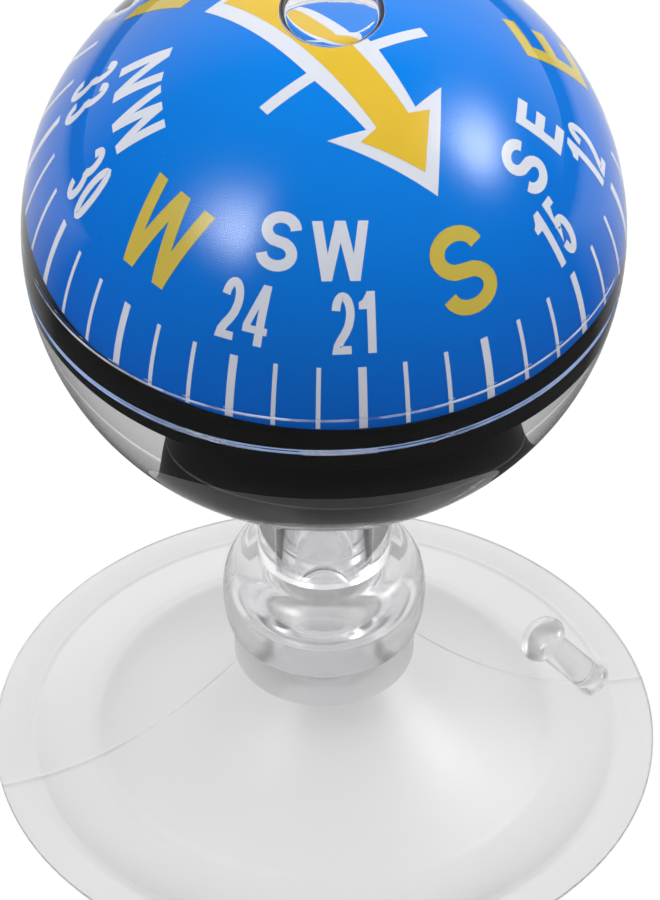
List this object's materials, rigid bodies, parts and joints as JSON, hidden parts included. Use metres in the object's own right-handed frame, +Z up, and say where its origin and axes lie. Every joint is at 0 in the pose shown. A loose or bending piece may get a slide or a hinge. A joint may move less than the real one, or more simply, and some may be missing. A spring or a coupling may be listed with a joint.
{
  "type": "dashboard ball compass",
  "caption": "Liquid-filled ball compass with a blue domed dial, turning on a peg in a clear suction cup.",
  "frame": {"origin": "centre of the suction cup's sealing land, on the surface it is pressed to", "axes": "+Z up through the ball, -Y towards the side the picture was taken from"},
  "size_m": [0.0456, 0.0456, 0.0662],
  "materials": {
    "clear_vinyl": "clear soft moulding, glossy",
    "clear_acrylic": "clear, polished",
    "blue_enamel": "blue paint, printed in white and yellow",
    "black_plastic": "black, moulded",
    "white_plastic": "white, moulded",
    "plug_rubber": "matt",
    "ground_steel": "ground point",
    "turned_brass": "turned",
    "jewel_glass": "polished",
    "magnet_steel": "plain bar"
  },
  "bodies": {
    "cup": {"suction_cup": "clear_vinyl"},
    "stem": {"mounting_peg": "clear_acrylic"},
    "ball": {"lower_bowl": "clear_acrylic", "upper_dome": "clear_acrylic", "filler_plug": "plug_rubber", "pivot_post": "white_plastic", "pivot_pin": "ground_steel"},
    "cap": {"bearing_cap": "jewel_glass"},
    "holder": {"bearing_holder": "turned_brass"},
    "float": {"dial_dome": "blue_enamel", "float_plate": "black_plastic", "float_drum": "black_plastic", "drum_cover": "black_plastic", "ballast_ring": "turned_brass", "bar_magnet_east": "magnet_steel", "bar_magnet_west": "magnet_steel"}
  },
  "joints": [
    {"name": "cup_press", "type": "slide", "parent": "cup", "child": "stem", "axis": [0, 0, 1], "range_m": [-0.004, 0], "stiffness_N_per_m": 2000, "deforming": ["suction_cup"]},
    {"name": "ball_swivel", "type": "hinge", "parent": "stem", "child": "ball", "pos_m": [0, 0, 0.0462], "axis": [0, 0, 1], "continuous": true},
    {"name": "tilt_side", "type": "hinge", "parent": "ball", "child": "cap", "pos_m": [0.00076, 0.00032, 0.0462], "axis": [0, 1, 0], "range_deg": [-8, 8]},
    {"name": "tilt_fore_aft", "type": "hinge", "parent": "cap", "child": "holder", "pos_m": [0.00076, 0.00032, 0.0462], "axis": [1, 0, 0], "range_deg": [-8, 8]},
    {"name": "heading_turn", "type": "hinge", "parent": "holder", "child": "float", "pos_m": [0.00076, 0.00032, 0.0462], "axis": [0, 0, 1], "continuous": true}
  ]
}
